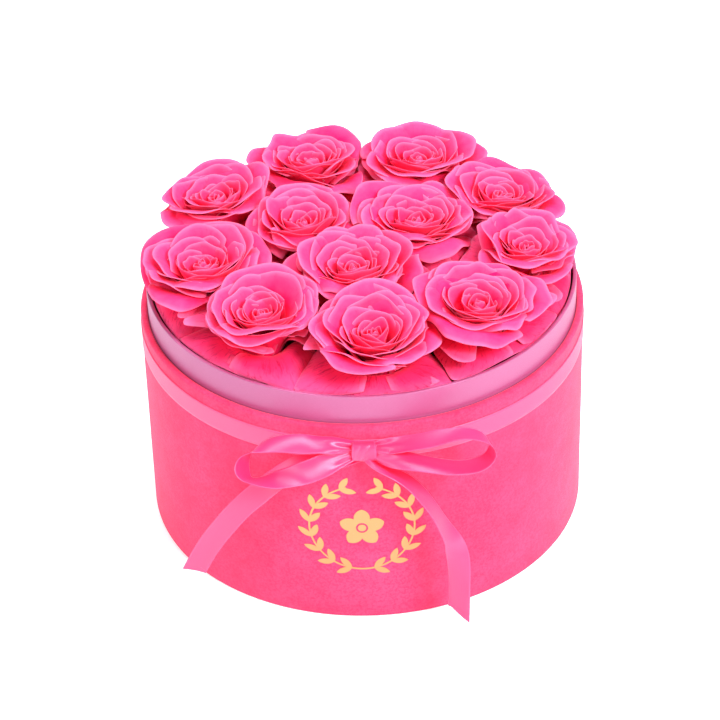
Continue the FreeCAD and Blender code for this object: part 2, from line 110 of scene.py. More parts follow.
LEFT_TAIL = [
    (-1.6, 0.04, 2.7, (0.1, 0, -1), 0.35), (-14.6, 0.07, 3.2, (0.1, -0.3, -1), 0.65),
    (-31.6, 0.06, 5.5, (0.2, -0.8, -0.5), 1.0), (-42.6, 0.14, 5.5, (0.4, -0.7, -0.5), 1.0),
    (-52.6, 0.25, 4.5, (0.6, -0.6, -0.4), 1.0), (-62.8, 0.38, 2.0, (0.75, -0.5, -0.4), 1.0),
    (-72.8, 0.55, -2.0, (0.8, -0.4, -0.4), 1.0), (-82.6, 0.75, -7.0, (0.85, -0.35, -0.4), 1.0),
    (-92.1, 1.0, -12.7, (0.85, -0.35, -0.4), 1.0),
]
RIGHT_TAIL = [
    (1.4, 0.03, 3.6, (-1, 0, 0.5), 0.4), (6.6, 0.06, 7.2, (-0.5, -0.7, 0.3), 0.7),
    (13.4, 0.09, 9.2, (-0.5, -0.8, 0.3), 0.9), (21.4, 0.14, 10.2, (-0.5, -0.8, 0.3), 1.0),
    (29.5, 0.23, 11.0, (-0.5, -0.8, 0.3), 1.0), (35.8, 0.33, 12.0, (-0.4, -0.8, 0.3), 1.0),
    (40.8, 0.43, 13.4, (-0.5, -0.7, 0.4), 1.0), (45.0, 0.52, 14.0, (-0.7, -0.5, 0.4), 1.0),
    (47.3, 0.62, 14.2, (-0.9, -0.1, 0.1), 1.0), (47.8, 0.76, 14.0, (-0.9, 0.3, -0.3), 1.0),
    (47.4, 1.0, 13.0, (-0.9, 0.4, -0.3), 1.0),
]

# ---- a head's petals, ring by ring from the eye: how many, reach of their lips as a share
# of the head's radius, depth below its top in millimetres, half their span, and the slopes
# out from upright at the root and at the lip, in degrees ----
RINGS = [
    (3, 0.04, 8.2, 165, 5, -22), (3, 0.13, 8.0, 138, 7, -8), (4, 0.25, 6.4, 112, 9, 4),
    (5, 0.39, 4.6, 94, 11, 12), (5, 0.54, 2.7, 84, 13, 21), (6, 0.71, 1.0, 74, 15, 33),
    (6, 0.89, 0.6, 66, 18, 52), (6, 1.08, 4.6, 58, 22, 80),
]
# ---- how each rose differs: how open, lean outwards in degrees, turn in degrees ----
ROSES = [
    (0.95, 4, 27), (1.0, 3, 99), (1.0, 9, 180), (1.0, 6, 63), (0.95, 0, 234), (1.0, 2, 153),
    (1.0, 8, 288), (1.0, 7, 9), (1.0, 2, 198), (1.0, 5, 117), (1.05, 4, 261), (1.0, 5, 45),
]


class BoxSettings(bpy.types.PropertyGroup):
    velvet: FloatVectorProperty(
        name="Velvet", description="Colour of the velvet pile", subtype="COLOR", size=3,
        min=0, max=1, default=(0.94, 0.026, 0.108))
    nap_light: FloatVectorProperty(
        name="Brushed nap", description="Colour where the pile lies the other way",
        subtype="COLOR", size=3, min=0, max=1, default=(0.97, 0.054, 0.165))
    foil: FloatVectorProperty(
        name="Foil", description="Colour of the stamped emblem", subtype="COLOR", size=3,
        min=0, max=1, default=(0.56, 0.30, 0.13))
    seam_step: FloatProperty(
        name="Seam step", description="Height of the velvet's overlap at the back",
        default=0.5 * MM, min=0, unit="LENGTH")


class RibbonSettings(bpy.types.PropertyGroup):
    width: FloatProperty(
        name="Ribbon width", description="Width of the waist and bow ribbon",
        default=WAIST_HIGH.z - WAIST_LOW.z, min=3 * MM, unit="LENGTH")
    thickness: FloatProperty(
        name="Ribbon thickness", description="Thickness of one layer of satin",
        default=0.25 * MM, min=0.05 * MM, unit="LENGTH")
    bow: FloatVectorProperty(
        name="Bow satin", description="Colour of the waist ribbon and the bow",
        subtype="COLOR", size=3, min=0, max=1, default=(0.95, 0.022, 0.125))
    collar: FloatVectorProperty(
        name="Collar satin", description="Colour of the ribbon round the collar",
        subtype="COLOR", size=3, min=0, max=1, default=(0.345, 0.052, 0.165))


class RoseSettings(bpy.types.PropertyGroup):
    petal_light: FloatVectorProperty(
        name="Petal lip", description="Colour at the petals' lips", subtype="COLOR", size=3,
        min=0, max=1, default=(1.0, 0.074, 0.235))
    # Painted shade: the colour low on the petals stands in for the shade in the recesses between
    # them.
    petal_root_shade: FloatVectorProperty(
        name="Petal root", description="Colour low on the petals", subtype="COLOR", size=3,
        min=0, max=1, default=(1.0, 0.004, 0.11))
    # Painted shade: this colour is the dark low end of the guard petals' gradient.
    guard: FloatVectorProperty(
        name="Guard petals", description="Colour of the opened outer petals",
        subtype="COLOR", size=3, min=0, max=1, default=(0.82, 0.022, 0.125))
    petal_thickness: FloatProperty(
        name="Petal thickness", description="Thickness of a preserved petal",
        default=0.35 * MM, min=0.1 * MM, unit="LENGTH")
    seed: IntProperty(
        name="Seed", description="Start of the petals' variation", default=7, min=0)


class StageSettings(bpy.types.PropertyGroup):
    lens: FloatProperty(
        name="Lens", description="Focal length of the camera", default=141.1, min=10,
        subtype="DISTANCE_CAMERA")
    elevation: FloatProperty(
        name="Elevation", description="How far the camera looks down",
        default=math.radians(35.567), subtype="ANGLE")
    roll: FloatProperty(
        name="Roll", description="Tilt of the camera about its own axis",
        default=math.radians(-1.7075), subtype="ANGLE")


# ---- tools ----
def deselect():
    if bpy.context.object and bpy.context.object.mode != "OBJECT":
        bpy.ops.object.mode_set(mode="OBJECT")
    bpy.ops.object.select_all(action="DESELECT")


def primitive(add, name, **settings):
    """Adds one primitive and puts its place into its mesh."""
    deselect()
    add(**settings)
    piece = bpy.context.object
    piece.name = name
    piece.data.name = name
    bpy.ops.object.transform_apply(location=True, rotation=True, scale=True)
    return piece


def activate(piece):
    deselect()
    piece.select_set(True)
    bpy.context.view_layer.objects.active = piece


def modify(piece, kind, **settings):
    """Adds a modifier, sets it and applies it."""
    activate(piece)
    modifier = piece.modifiers.new(kind.title(), kind)
    for key, value in settings.items():
        setattr(modifier, key, value)
    bpy.ops.object.modifier_apply(modifier=modifier.name)


def smooth(piece):
    activate(piece)
    bpy.ops.object.shade_smooth()


def joined(pieces, name):
    deselect()
    for piece in pieces:
        piece.select_set(True)
    bpy.context.view_layer.objects.active = pieces[0]
    bpy.ops.object.join()
    pieces[0].name = name
    pieces[0].data.name = name
    return pieces[0]


def coordinates(piece):
    points = np.empty(len(piece.data.vertices) * 3)
    piece.data.vertices.foreach_get("co", points)
    return points.reshape(-1, 3)


def reshape(piece, points):
    piece.data.vertices.foreach_set("co", np.asarray(points, float).ravel())
    piece.data.update()


def finish_piece(piece, material, body, slot, *nodes):
    piece.data.materials.clear()
    piece.data.materials.append(material)
    smooth(piece)
    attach(piece, body)
    if nodes:
        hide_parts(*nodes)


def waves(angle, rng, periods, size):
    """Smooth unevenness that closes on itself: one wave for each count of periods."""
    total = np.zeros_like(angle)
    for count in periods:
        total += np.sin(count * angle + rng.uniform(0, 2 * np.pi)) * rng.uniform(0.5, 1)
    return total * size / max(len(periods), 1)


def ramp(values, low, high):
    share = np.clip((values - low) / (high - low), 0, 1)
    return share * share * (3 - 2 * share)


def turned(name, section, segments):
    """Ring with a closed section of (radius, height) points, extruded circle by circle."""
    radius, height = section[0]
    ring = primitive(bpy.ops.mesh.primitive_circle_add, name, vertices=segments,
                     radius=radius, location=(0, 0, height))
    bpy.ops.object.mode_set(mode="EDIT")
    bpy.ops.mesh.select_all(action="SELECT")
    for next_radius, next_height in section[1:] + section[:1]:
        rise = (0, 0, next_height - height)
        bpy.ops.mesh.extrude_region_move(TRANSFORM_OT_translate={"value": rise})
        scale = next_radius / radius
        bpy.ops.transform.resize(value=(scale, scale, 1))
        radius, height = next_radius, next_height
    bpy.ops.mesh.select_all(action="SELECT")
    bpy.ops.mesh.remove_doubles(threshold=0.01 * MM)
    bpy.ops.mesh.normals_make_consistent(inside=False)
    bpy.ops.object.mode_set(mode="OBJECT")
    return ring


def polar(points):
    """Each point's distance from the box's axis, and its angle round it from the front."""
    return np.hypot(points[:, 0], points[:, 1]), np.arctan2(points[:, 0], -points[:, 1])


def widen(points, radius, by):
    """Moves points outwards from the box's axis."""
    points[:, :2] *= ((radius + by) / radius)[:, None]


def arc(x, z, radius, start, end, steps):
    """Points on a rounded corner about (x, z), angles in degrees."""
    return [(x + radius * math.cos(math.radians(a)), z + radius * math.sin(math.radians(a)))
            for a in np.linspace(start, end, steps)]


def ring_uv(piece, low, high):
    """UV across a ribbon ring: x runs round it in ribbon widths, y from 0 to 1 across it."""
    layer = piece.data.uv_layers.active or piece.data.uv_layers.new(name="UVMap")
    points = coordinates(piece)
    width = high - low
    for face in piece.data.polygons:
        around = [math.atan2(points[v][0], -points[v][1])
                  for v in (piece.data.loops[i].vertex_index for i in face.loop_indices)]
        wraps = max(around) - min(around) > math.pi
        for loop_index, angle in zip(face.loop_indices, around):
            vertex = piece.data.loops[loop_index].vertex_index
            turn = angle + 2 * math.pi if wraps and angle < 0 else angle
            across = (points[vertex][2] - low) / width
            layer.data[loop_index].uv = (turn * OUTER_RADIUS / width, across)


# ---- materials ----
class Nodes:
    """Short way to write a node material."""

    def __init__(self, name):
        self.material = bpy.data.materials.new(name)
        self.material.use_nodes = True
        self.tree = self.material.node_tree
        self.shader = self.tree.nodes["Principled BSDF"]

    def add(self, kind, inputs=None, **settings):
        node = self.tree.nodes.new(kind)
        for key, value in settings.items():
            setattr(node, key, value)
        for key, value in (inputs or {}).items():
            self.plug(value, node.inputs[key])
        return node

    def plug(self, value, socket):
        if isinstance(value, bpy.types.NodeSocket):
            self.tree.links.new(value, socket)
        else:
            socket.default_value = value

    def set(self, **values):
        for key, value in values.items():
            self.plug(value, self.shader.inputs[key.replace("_", " ")])

    def object_place(self, scale=(1, 1, 1)):
        place = self.add("ShaderNodeTexCoord").outputs["Object"]
        return self.add("ShaderNodeMapping", {"Vector": place, "Scale": scale}).outputs[0]

    def uv_place(self, scale=(1, 1, 1)):
        place = self.add("ShaderNodeTexCoord").outputs["UV"]
        return self.add("ShaderNodeMapping", {"Vector": place, "Scale": scale}).outputs[0]

    def noise(self, place, scale, detail=3.0, roughness=0.5):
        return self.add("ShaderNodeTexNoise", {"Vector": place, "Scale": scale,
                        "Detail": detail, "Roughness": roughness}).outputs[0]

    def grain(self, scale, detail, roughness, stretch=(1, 1, 1)):
        """Noise in the piece's own space."""
        return self.noise(self.object_place(stretch), scale, detail, roughness)

    def range(self, value, low, high, to_low=0.0, to_high=1.0):
        node = self.add("ShaderNodeMapRange", {"Value": value, "From Min": low,
                        "From Max": high, "To Min": to_low, "To Max": to_high})
        return node.outputs[0]

    def mix(self, share, first, second):
        node = self.add("ShaderNodeMix", data_type="RGBA")
        for value, index in ((share, 0), (colour(first), 6), (colour(second), 7)):
            self.plug(value, node.inputs[index])
        return node.outputs[2]

    def math(self, operation, first, second=0.0):
        return self.add("ShaderNodeMath", {0: first, 1: second}, operation=operation).outputs[0]

    def bump(self, height, distance, strength=1.0, under=None):
        inputs = {"Height": height, "Distance": distance, "Strength": strength}
        if under is not None:
            inputs["Normal"] = under
        return self.add("ShaderNodeBump", inputs).outputs[0]

    def bumped(self, *relief):
        """Gives the shader its relief and returns the finished material."""
        self.set(Normal=self.bump(*relief))
        return self.material


def colour(value):
    if isinstance(value, bpy.types.NodeSocket):
        return value
    return (*value, 1.0) if len(value) == 3 else tuple(value)


def velvet_material(settings):
    nodes = Nodes("velvet_pile")
    wide = nodes.grain(26, 4, 0.62, (1, 1, 0.8))
    patches = nodes.grain(95, 5, 0.6, (1, 1, 1.3))
    nap = nodes.math("ADD", nodes.math("MULTIPLY", wide, 0.6),
                     nodes.math("MULTIPLY", patches, 0.4))
    share = nodes.range(nap, 0.40, 0.62)
    fibre = nodes.grain(2600, 2, 0.7)
    tone = nodes.mix(share, settings.velvet, settings.nap_light)
    speck = nodes.mix(nodes.range(fibre, 0.3, 0.75, 0, 0.22), tone, (1.0, 0.14, 0.28))
    tufts = nodes.grain(620, 3, 0.7)
    speck = nodes.mix(nodes.range(tufts, 0.44, 0.60, 0, 0.5), speck, (0.93, 0.016, 0.085))
    nodes.set(Base_Color=speck, Roughness=0.92, Sheen_Weight=0.32, Sheen_Roughness=0.42,
              Sheen_Tint=(1.0, 0.55, 0.70, 1.0), Specular_IOR_Level=0.25)
    coarse = nodes.bump(nap, 0.25 * MM, 0.5)
    return nodes.bumped(fibre, 0.12 * MM, 0.7, coarse)


def satin_material(name, base, light):
    """Satin ribbon: long floating threads along it, a firmer woven edge on both sides."""
    nodes = Nodes(name)
    threads = nodes.noise(nodes.uv_place((3, 90, 1)), 3.0, 3, 0.65)
    cross = nodes.noise(nodes.uv_place((160, 4, 1)), 2.0, 2, 0.6)
    across = nodes.add("ShaderNodeSeparateXYZ", {0: nodes.uv_place()}).outputs[1]
    off_edge = nodes.math("MINIMUM", across, nodes.math("SUBTRACT", 1.0, across))
    edge = nodes.range(off_edge, 0.035, 0.075, 1.0, 0.0)
    tone = nodes.mix(nodes.range(threads, 0.3, 0.7, 0.0, 0.35), base, light)
    tone = nodes.mix(nodes.math("MULTIPLY", edge, 0.35), tone, light)
    nodes.set(Base_Color=tone, Roughness=nodes.range(threads, 0.2, 0.8, 0.36, 0.46),
              Anisotropic=0.75, Specular_IOR_Level=1.0, Sheen_Weight=0.12,
              Sheen_Roughness=0.35, Sheen_Tint=(1.0, 0.75, 0.95, 1.0),
              Specular_Tint=(1.0, 0.72, 0.95, 1.0))
    nodes.set(Tangent=nodes.add("ShaderNodeTangent", direction_type="UV_MAP").outputs[0])
    weave = nodes.bump(nodes.math("ADD", threads, nodes.math("MULTIPLY", cross, 0.5)),
                       0.035 * MM, 0.6)
    return nodes.bumped(edge, 0.10 * MM, 0.8, weave)


def petal_material(name, root_shade, light, veins):
    """Preserved petal: painted shade deep at the root for the recesses between petals, pale at the
    lip with a painted highlight along the rim, faint veins fanning from the root.
    """
    nodes = Nodes(name)
    place = nodes.uv_place()
    parts = nodes.add("ShaderNodeSeparateXYZ", {0: place})
    side, reach = parts.outputs[0], parts.outputs[1]
    lip = nodes.add("ShaderNodeAttribute", attribute_name="lip").outputs["Fac"]
    patches = nodes.grain(120, 3, 0.55)
    cloud = nodes.math("SUBTRACT", patches, 0.5)
    height = nodes.math("ADD", reach, nodes.math("MULTIPLY", cloud, 0.35))
    # Painted shade: darker low on each petal, standing in for the shade in the recesses between
    # petals.
    tone = nodes.mix(nodes.range(height, 0.62, 1.02), root_shade, light)
    wander = nodes.math("MULTIPLY", cloud, 0.05)
    fan = nodes.math("ADD", side, wander)
    combined = nodes.add("ShaderNodeCombineXYZ", {0: fan, 1: nodes.math("MULTIPLY", reach, 0.10)})
    lines = nodes.noise(combined.outputs[0], 26, 5, 0.75)
    vein = nodes.range(lines, 0.53, 0.66)
    tone = nodes.mix(nodes.math("MULTIPLY", vein, veins), tone, (0.40, 0.004, 0.055))
    # Painted highlight: a lighter thin rim along each petal's lip.
    tone = nodes.mix(nodes.math("MULTIPLY", lip, 0.5), tone, (1.0, 0.19, 0.38))
    nodes.set(Base_Color=tone, Roughness=0.68, Specular_IOR_Level=0.10, Sheen_Weight=0.06,
              Sheen_Roughness=0.5, Sheen_Tint=(1.0, 0.7, 0.82, 1.0),
              Subsurface_Weight=0.22, Subsurface_Scale=1.6 * MM,
              Subsurface_Radius=(1.0, 0.32, 0.45))
    grain = nodes.grain(1500, 2, 0.6)
    fine = nodes.bump(grain, 0.03 * MM, 0.5)
    return nodes.bumped(vein, 0.10 * MM, 0.5, fine)


def foil_material(settings):
    nodes = Nodes("gold_foil")
    crackle = nodes.grain(900, 4, 0.7)
    worn = nodes.range(crackle, 0.60, 0.72)
    tone = nodes.mix(nodes.math("MULTIPLY", worn, 0.5), settings.foil, (0.90, 0.30, 0.22))
    nodes.set(Base_Color=tone, Metallic=nodes.range(worn, 0, 1, 0.85, 0.3),
              Roughness=nodes.range(crackle, 0.2, 0.8, 0.30, 0.48), Specular_IOR_Level=0.6)
    pile = nodes.grain(1400, 2, 0.6)
    return nodes.bumped(pile, 0.06 * MM, 0.6)


def card_material(name, base, fleck):
    nodes = Nodes(name)
    fibres = nodes.grain(700, 4, 0.7, (1, 1, 0.35))
    cloud = nodes.grain(60, 3, 0.5)
    tone = nodes.mix(nodes.range(fibres, 0.45, 0.75), base, fleck)
    tone = nodes.mix(nodes.range(cloud, 0.35, 0.65, 0, 0.2), tone, [0.8 * c for c in base])
    nodes.set(Base_Color=tone, Roughness=0.88, Specular_IOR_Level=0.3)
    return nodes.bumped(fibres, 0.05 * MM, 0.5)


def foam_material():
    nodes = Nodes("floral_foam_cells")
    cells = nodes.add("ShaderNodeTexVoronoi", {"Vector": nodes.object_place(),
                      "Scale": 900.0}).outputs["Distance"]
    cloud = nodes.grain(40, 3, 0.5)
    tone = nodes.mix(nodes.range(cloud, 0.35, 0.65), (0.30, 0.03, 0.09), (0.40, 0.05, 0.13))
    tone = nodes.mix(nodes.range(cells, 0.1, 0.5, 0.0, 0.5), tone, (0.15, 0.01, 0.04))
    nodes.set(Base_Color=tone, Roughness=0.97, Specular_IOR_Level=0.15)
    return nodes.bumped(cells, 0.25 * MM, 0.8)


def stem_material():
    nodes = Nodes("preserved_stem")
    streaks = nodes.grain(900, 3, 0.6, (1, 1, 0.08))
    tone = nodes.mix(nodes.range(streaks, 0.35, 0.7), (0.10, 0.16, 0.045), (0.24, 0.30, 0.10))
    nodes.set(Base_Color=tone, Roughness=0.7, Specular_IOR_Level=0.35)
    return nodes.bumped(streaks, 0.12 * MM, 0.6)


def floor_material():
    nodes = Nodes("studio_floor")
    grain = nodes.grain(500, 2, 0.5)
    nodes.set(Base_Color=nodes.mix(grain, (0.93, 0.93, 0.93), (0.96, 0.96, 0.96)), Roughness=0.9,
              Emission_Color=(1, 1, 1, 1), Emission_Strength=0.3)
    return nodes.material


# ---- velvet ----
def velvet_section():
    """Closed section of the cloth: under the base, up the wall, over the rim and down inside."""
    thick = VELVET_THICKNESS
    board = OUTER_RADIUS - thick
    bore = OUTER_RADIUS - RIM_WIDTH + thick
    lip = 1.0 * MM
    outer = lip + thick
    bend = RIM_Z - outer
    under = board - TURN_UNDER
    wall = [(OUTER_RADIUS, z) for z in np.linspace(4 * MM, bend, 20)]
    section = [(under, 0.0), (board - 6 * MM, 0.0)] + arc(board, thick, thick, -90, 0, 4)
    section += wall + arc(board - lip, bend, outer, 12, 90, 6)
    section += arc(bore + lip, bend, outer, 102, 180, 6)
    section += [(bore - thick, RIM_Z - TURN_IN), (bore, RIM_Z - TURN_IN)]
    section += arc(bore + lip, bend, lip, 180, 90, 4) + arc(board - lip, bend, lip, 90, 0, 4)
    return section + [(board, thick), (under, thick)]


def seam_rise(angle, step):
    """Height of the cloth's overlap at the back, which lifts whatever lies over it."""
    back = np.pi - np.abs(angle)
    overlap = 9 * MM / OUTER_RADIUS
    return step * (1 - ramp(back, overlap, overlap + 0.004)) * (angle > 0)


class FLOWERBOX_OT_velvet(bpy.types.Operator):
    """Wrap the box in velvet, with an overlapped seam at the back"""
    bl_idname = "flowerbox.velvet"
    bl_label = "Velvet Cover"

    def execute(self, context):
        settings = context.scene.flower_box
        rng = np.random.default_rng(3)
        cover = turned("velvet_cover", velvet_section(), RING_SEGMENTS)
        points = coordinates(cover)
        radius, angle = polar(points)
        outside = ramp(radius, OUTER_RADIUS - 1.2 * MM, OUTER_RADIUS - 0.1 * MM)
        clear_of_floor = ramp(points[:, 2], 1.5 * MM, 12 * MM)
        step = seam_rise(angle, settings.seam_step)
        rise = waves(angle, rng, (3, 7, 11, 19), 0.16 * MM)
        bulge = waves(angle + points[:, 2] * 9, rng, (2, 5, 9, 14), 0.10 * MM)
        near_rim = ramp(points[:, 2], RIM_Z - 16 * MM, RIM_Z)
        widen(points, radius, outside * clear_of_floor * (step + bulge * (1 - near_rim)))
        points[:, 2] += near_rim * np.minimum(rise, 0)
        reshape(cover, points)
        finish_piece(cover, velvet_material(settings), "box", "velvet", "velvet_wrap")
        return {"FINISHED"}


# ---- band ribbons ----
def band_section(inner, thickness, low, high):
    heights = np.linspace(low, high, 9)
    return [(inner, z) for z in heights[::-1]] + [(inner + thickness, z) for z in heights]


class FLOWERBOX_OT_band_ribbons(bpy.types.Operator):
    """Glue satin ribbon round the waist of the box and over the collar"""
    bl_idname = "flowerbox.band_ribbons"
    bl_label = "Waist and Collar Ribbons"

    def waist(self, settings, material):
        rng = np.random.default_rng(11)
        section = band_section(OUTER_RADIUS + 0.05 * MM, settings.thickness,
                               WAIST_LOW.z, WAIST_HIGH.z)
        band = turned("waist_band", section, RING_SEGMENTS)
        ring_uv(band, WAIST_LOW.z, WAIST_HIGH.z)
        points = coordinates(band)
        radius, angle = polar(points)
        points[:, 2] -= 0.55 * MM * np.sin(angle) + waves(angle, rng, (2, 5, 9), 0.15 * MM)
        lift = np.abs(waves(angle, rng, (4, 9, 13), 0.12 * MM)) + 0.02 * MM
        lift += seam_rise(angle, bpy.context.scene.flower_box.seam_step)
        widen(points, radius, lift)
        reshape(band, points)
        finish_piece(band, material, "box", "pink_satin", "waist_ribbon")

    def collar(self, material):
        thick = 0.35 * MM
        face = COLLAR_FACE
        bore = face - COLLAR_INSIDE
        inside = 7.6 * MM
        crown = COLLAR_TOP - 0.5 * MM
        section = [(face - thick, RIM_Z - 3.5 * MM)]
        section += [(face, z) for z in np.linspace(RIM_Z - 3.5 * MM, crown, 14)]
        section += arc(face - 0.5 * MM, crown, 0.5 * MM, 15, 90, 5)
        section += arc(bore + 0.5 * MM, crown, 0.5 * MM, 90, 180, 5)
        section += [(bore, COLLAR_TOP - inside), (bore + thick, COLLAR_TOP - inside)]
        section += arc(bore + 0.5 * MM, crown, 0.15 * MM, 180, 90, 3)
        section += arc(face - 0.5 * MM, crown, 0.15 * MM, 90, 0, 3)
        ribbon = turned("collar_satin", section, RING_SEGMENTS)
        ring_uv(ribbon, RIM_Z - 0.4 * MM, COLLAR_TOP + 1.5 * MM)
        rng = np.random.default_rng(5)
        points = coordinates(ribbon)
        radius, angle = polar(points)
        exposed = ramp(radius, face - 1.0 * MM, face) * ramp(points[:, 2], RIM_Z, RIM_Z + 3 * MM)
        ripple = waves(angle + points[:, 2] * 14, rng, (5, 11, 17, 29), 0.10 * MM)
        widen(points, radius, exposed * ripple)
        reshape(ribbon, points)
        finish_piece(ribbon, material, "box", "lilac_satin", "collar_ribbon")

    def execute(self, context):
        settings = context.scene.flower_ribbon
        pink = satin_material("bow_satin", settings.bow, (1.0, 0.075, 0.25))
        lilac = satin_material("collar_satin_cloth", settings.collar, (0.50, 0.16, 0.34))
        self.waist(settings, pink)
        self.collar(lilac)
        return {"FINISHED"}


# ---- bow ----
def spline(values, marks, at):
    """Natural cubic through values at marks, read at the places in at."""
    values = np.asarray(values, float)
    count = len(marks)
    gap = np.diff(marks)
    system = np.zeros((count, count))
    right = np.zeros_like(values)
    system[0, 0] = system[-1, -1] = 1
    for i in range(1, count - 1):
        system[i, i - 1:i + 2] = gap[i - 1], 2 * (gap[i - 1] + gap[i]), gap[i]
        rise, past = (values[i + 1] - values[i]) / gap[i], (values[i] - values[i - 1]) / gap[i - 1]
        right[i] = 6 * (rise - past)
    bend = np.linalg.solve(system, right)
    index = np.clip(np.searchsorted(marks, at) - 1, 0, count - 2)
    step = gap[index][:, None]
    low = ((marks[index + 1] - at) / gap[index])[:, None]
    high = 1 - low
    return (low * values[index] + high * values[index + 1]
            + ((low ** 3 - low) * bend[index] + (high ** 3 - high) * bend[index + 1])
            * step ** 2 / 6)


def unit(vectors):
    return vectors / np.linalg.norm(vectors, axis=1)[:, None]


def loop_run(stations):
    return [Vector((KNOT.x + x * MM, -OUTER_RADIUS - out * MM, KNOT.z + z * MM))
            for x, z, out, _, _ in stations]


def tail_run(stations, end_z):
    return [Vector((KNOT.x + x * MM, -OUTER_RADIUS - out * MM, KNOT.z - share * (KNOT.z - end_z)))
            for x, share, out, _, _ in stations]


def ribbon_strip(name, run, stations, settings, shape, slant=0.0):
    """Strip of ribbon along a run. shape gives its cupping and folds at (along, across)."""
    lines = 160
    strip = primitive(bpy.ops.mesh.primitive_grid_add, name, x_subdivisions=lines,
                      y_subdivisions=14, size=2)
    grid = coordinates(strip)
    along, across = (grid[:, 0] + 1) / 2, grid[:, 1]
    points = np.array(run)
    marks = np.concatenate([[0], np.cumsum(np.linalg.norm(np.diff(points, axis=0), axis=1))])
    length = marks[-1]
    at = np.clip(along * length + slant * across * settings.width / 2 * (along > 0.97), 0, None)
    centre = spline(points, marks, at)
    ahead = unit(spline(points, marks, at + 0.2 * MM) - spline(points, marks, at - 0.2 * MM))
    widths = spline([s[3] for s in stations], marks, at)
    spread = np.clip(spline([[s[4]] for s in stations], marks, at)[:, 0], 0.3, 1.0)
    side = unit(widths - ahead * np.sum(widths * ahead, axis=1)[:, None])
    face = np.cross(ahead, side)
    gathered = 1 - spread
    folds = gathered * 1.5 * MM * np.cos(across * np.pi * 1.8 + 0.6)
    bow = shape(along, across) * MM
    placed = centre + side * (across * spread * settings.width / 2)[:, None]
    placed += face * (folds + bow)[:, None]
    reshape(strip, placed)
    modify(strip, "SOLIDIFY", thickness=settings.thickness, offset=0)
    return strip, length


def gentle(cup, ripple, phase):
    """Cupped across its width, with a long ripple."""
    def shape(along, across):
        edge = across ** 2 - 0.3
        flat_at_bend = 1 - np.exp(-((along - 0.5) / 0.12) ** 2)
        return cup * edge * flat_at_bend + ripple * np.sin(along * 9 + phase) * across
    return shape


def knot_band(settings):
    """The turn of ribbon round the middle of the bow, pulled tight in a slanting crease."""
    band = primitive(bpy.ops.mesh.primitive_grid_add, "bow_knot_band", x_subdivisions=44,
                     y_subdivisions=22, size=2)
    grid = coordinates(band)
    turn, across = grid[:, 0] * math.radians(128), grid[:, 1]
    half_z = (KNOT_HIGH.z - KNOT_LOW.z) / 2 + 0.5 * MM
    front = -KNOT_LOW.y + 0.45 * MM
    back = OUTER_RADIUS + 0.6 * MM
    middle, half_y = (front + back) / 2, (front - back) / 2
    power = 0.62
    out = np.sign(np.cos(turn)) * np.abs(np.cos(turn)) ** power
    up = np.sign(np.sin(turn)) * np.abs(np.sin(turn)) ** power
    facing = ramp(np.cos(turn), -0.2, 0.6)
    crease = np.exp(-((across - 0.55 * np.sin(turn) - 0.1) / 0.16) ** 2)
    second = np.exp(-((across + 0.5 - 0.3 * np.sin(turn)) / 0.12) ** 2)
    roll = 0.35 * (1 - across ** 2) * facing
    depth = (roll - 0.75 * crease * facing - 0.4 * second * facing) * MM
    waisted = 1 - 0.10 * np.abs(np.sin(turn))
    half_x = (KNOT_HIGH.x - KNOT_LOW.x) / 2 * waisted
    x = KNOT.x + across * half_x
    y = -(middle + half_y * out + depth * np.maximum(np.cos(turn), 0))
    z = KNOT.z + half_z * up + depth * np.sin(turn) * 0.3
    reshape(band, np.stack([x, y, z], axis=1))
    modify(band, "SOLIDIFY", thickness=settings.thickness, offset=0)
    return band


class FLOWERBOX_OT_bow(bpy.types.Operator):
    """Tie the satin bow: two loops, two tails and the knot"""
    bl_idname = "flowerbox.bow"
    bl_label = "Bow"

    def execute(self, context):
        settings = context.scene.flower_ribbon
        satin = bpy.data.materials["bow_satin"]
        pieces = [
            ("left_loop", LEFT_LOOP, loop_run(LEFT_LOOP), gentle(0.9, 0.35, 0.4), 0.0,
             "bow_loop_left", "folded"),
            ("right_loop", RIGHT_LOOP, loop_run(RIGHT_LOOP), gentle(0.7, 0.3, 1.9), 0.0,
             "bow_loop_right", "folded"),
            ("left_tail", LEFT_TAIL, tail_run(LEFT_TAIL, LEFT_TAIL_LOW.z + 1.5 * MM),
             gentle(0.6, 0.3, 0.2), -0.6, "bow_tail_left", "hung"),
            ("right_tail", RIGHT_TAIL, tail_run(RIGHT_TAIL, RIGHT_TAIL_LOW.z - 2.5 * MM),
             gentle(0.5, 0.4, 2.2), -0.9, "bow_tail_right", "hung"),
        ]
        for name, stations, run, shape, slant, node, held in pieces:
            strip, length = ribbon_strip(name, run, stations, settings, shape, slant)
            finish_piece(strip, satin, "box", "pink_satin", node)
        band = knot_band(settings)
        finish_piece(band, satin, "box", "pink_satin")
        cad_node("bow_knot", satin)
        return {"FINISHED"}


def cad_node(node, material):
    """Gives a carried node its finish."""
    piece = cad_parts[node]
    piece.data.materials.clear()
    piece.data.materials.append(material)


# ---- roses ----
def rose_name(index):
    return f"rose_{index + 1:02d}"


def head(index):
    """Axis, radius, root of the petals and top of one rose, from its nodes."""
    stem_low, stem_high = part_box(f"{rose_name(index)}_stem")
    low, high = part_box(f"{rose_name(index)}_bloom")
    axis = np.array([(stem_low.x + stem_high.x) / 2, (stem_low.y + stem_high.y) / 2])
    radius = max(high.x - low.x, high.y - low.y) / 2
    return axis, radius, stem_high.z + 1 * MM, high.z


HEADS = [head(index) for index in range(ROSE_COUNT)]


